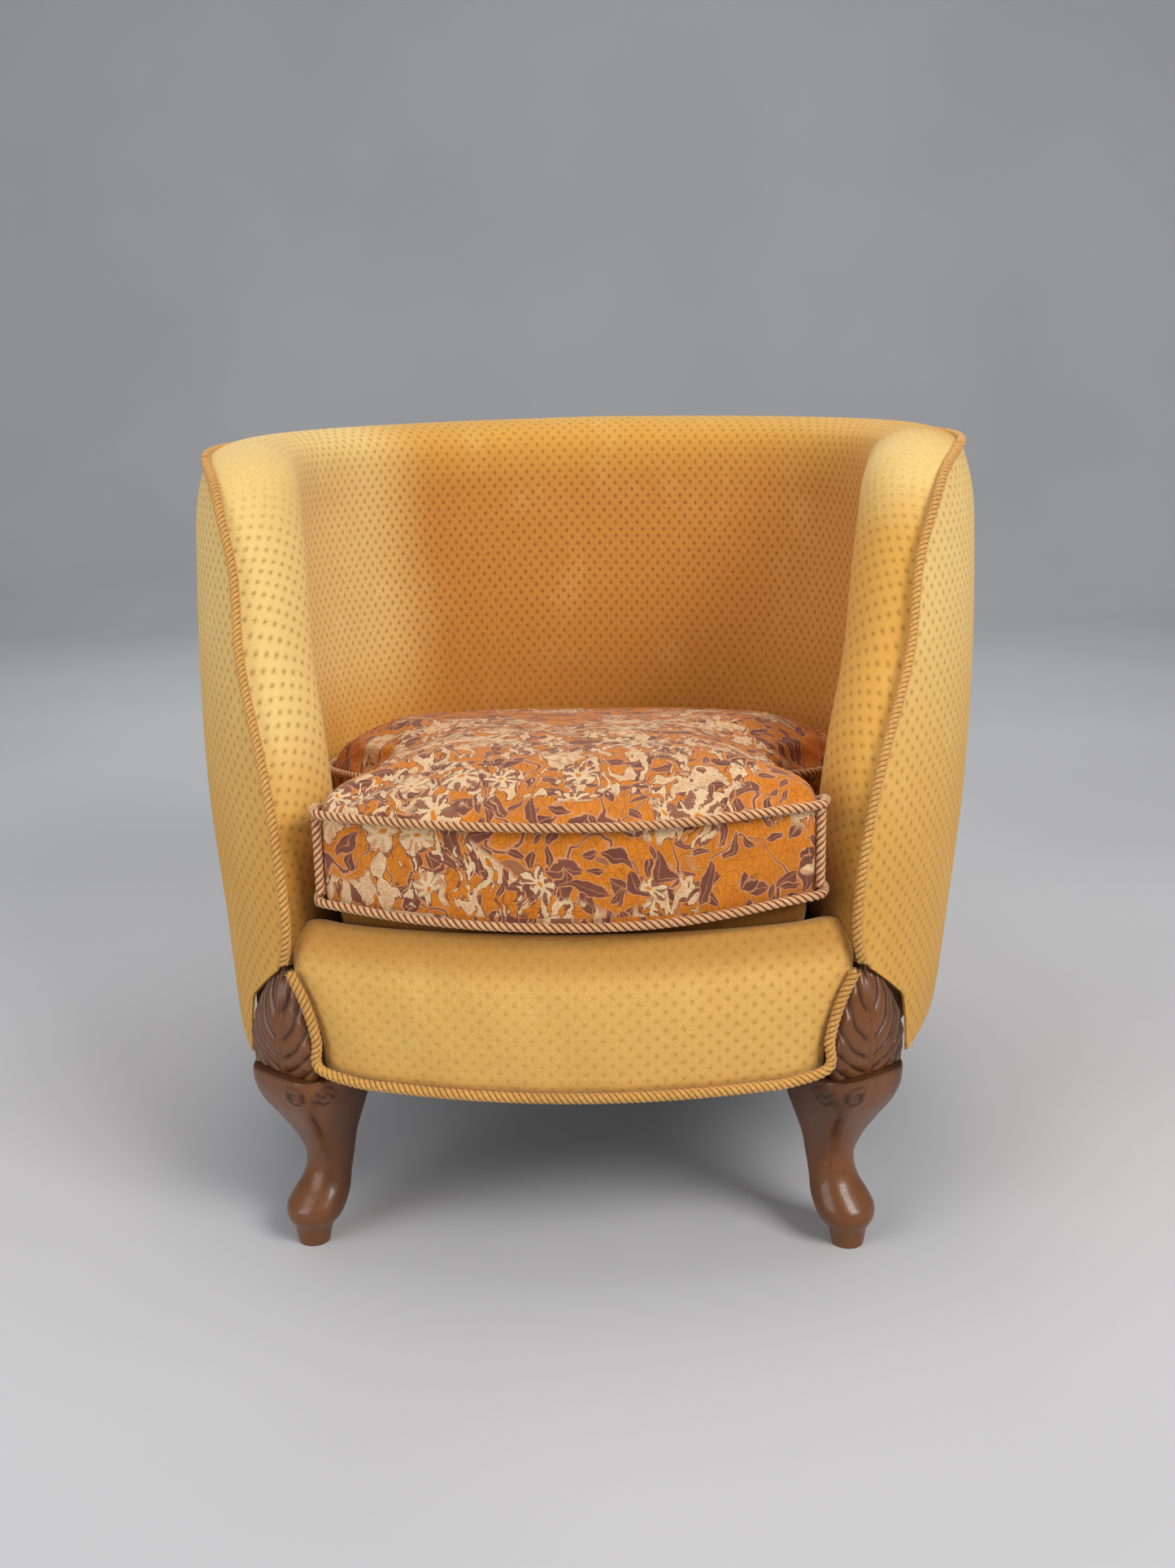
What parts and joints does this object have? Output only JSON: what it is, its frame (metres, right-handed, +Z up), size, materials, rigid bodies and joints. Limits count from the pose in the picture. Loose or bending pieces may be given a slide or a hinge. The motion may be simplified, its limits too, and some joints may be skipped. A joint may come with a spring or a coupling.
{
  "type": "upholstered armchair",
  "caption": "Low upholstered tub armchair with corded seams, carved knees, cabriole front legs and a loose floral seat cushion.",
  "frame": {"origin": "on the floor, at the middle of the chair's box", "axes": "+X to the right seen from the front, -Y forward, +Z up"},
  "size_m": [0.7698, 0.7695, 0.691],
  "materials": {
    "velvet": "gold cut velvet with small darker flecks",
    "stuffing": "stuffed pad under gold cut velvet",
    "cushion": "orange cloth woven with cream flowers and mauve-brown leaves",
    "cord": "twisted gold upholstery cord",
    "cushion_cord": "cord twisted from cream and rust threads",
    "walnut": "polished dark walnut",
    "beech": "plain sawn beech",
    "back_leg": "stained and polished",
    "webbing": "woven jute",
    "spring": "coppered wire",
    "hessian": "open plain weave",
    "black_cloth": "thin black cambric"
  },
  "bodies": {
    "frame": {"arm_cord_left": "cord", "arm_cord_right": "cord", "arm_front_roll_left": "stuffing", "arm_front_roll_right": "stuffing", "arm_post_left": "beech", "arm_post_right": "beech", "arm_rail_left": "beech", "arm_rail_right": "beech", "back_leg_left": "back_leg", "back_leg_right": "back_leg", "back_rail": "beech", "back_tacking_rail": "beech", "border_cord": "cord", "bottom_cloth": "black_cloth", "corner_block_back_left": "beech", "corner_block_back_right": "beech", "corner_block_front_left": "beech", "corner_block_front_right": "beech", "front_border": "velvet", "front_leg_left": "walnut", "front_leg_right": "walnut", "front_rail": "beech", "inside_arm_left": "stuffing", "inside_arm_right": "stuffing", "inside_back": "stuffing", "knee_block_left": "walnut", "knee_block_right": "walnut", "outside_arm_left": "velvet", "outside_arm_right": "velvet", "outside_back": "velvet", "rim_cord": "cord", "rim_roll": "stuffing", "seat_spring_1": "spring", "seat_spring_2": "spring", "seat_spring_3": "spring", "seat_spring_4": "spring", "seat_spring_5": "spring", "seat_spring_6": "spring", "seat_spring_7": "spring", "seat_spring_8": "spring", "seat_spring_9": "spring", "side_rail_left": "beech", "side_rail_right": "beech", "tacking_rail_left": "beech", "tacking_rail_right": "beech", "top_rail": "beech", "web_strap_cross_1": "webbing", "web_strap_cross_2": "webbing", "web_strap_cross_3": "webbing", "web_strap_long_1": "webbing", "web_strap_long_2": "webbing", "web_strap_long_3": "webbing"},
    "seat_platform": {"seat_deck": "velvet", "spring_cover": "hessian"},
    "cushion": {"seat_cushion": "cushion", "cushion_cord_top": "cushion_cord", "cushion_cord_bottom": "cushion_cord", "cushion_cord_left": "cushion_cord", "cushion_cord_right": "cushion_cord"}
  },
  "joints": [
    {"name": "seat_spring", "type": "slide", "parent": "frame", "child": "seat_platform", "axis": [0, 0, 1], "range_m": [-0.035, 0], "stiffness_N_per_m": 13500, "springref_m": 0.01, "deforming": ["seat_spring_1", "seat_spring_2", "seat_spring_3", "seat_spring_4", "seat_spring_5", "seat_spring_6", "seat_spring_7", "seat_spring_8", "seat_spring_9", "front_border"]},
    {"name": "cushion_lift", "type": "slide", "parent": "seat_platform", "child": "cushion", "axis": [0, 0, 1], "range_m": [0, 0.4]}
  ]
}
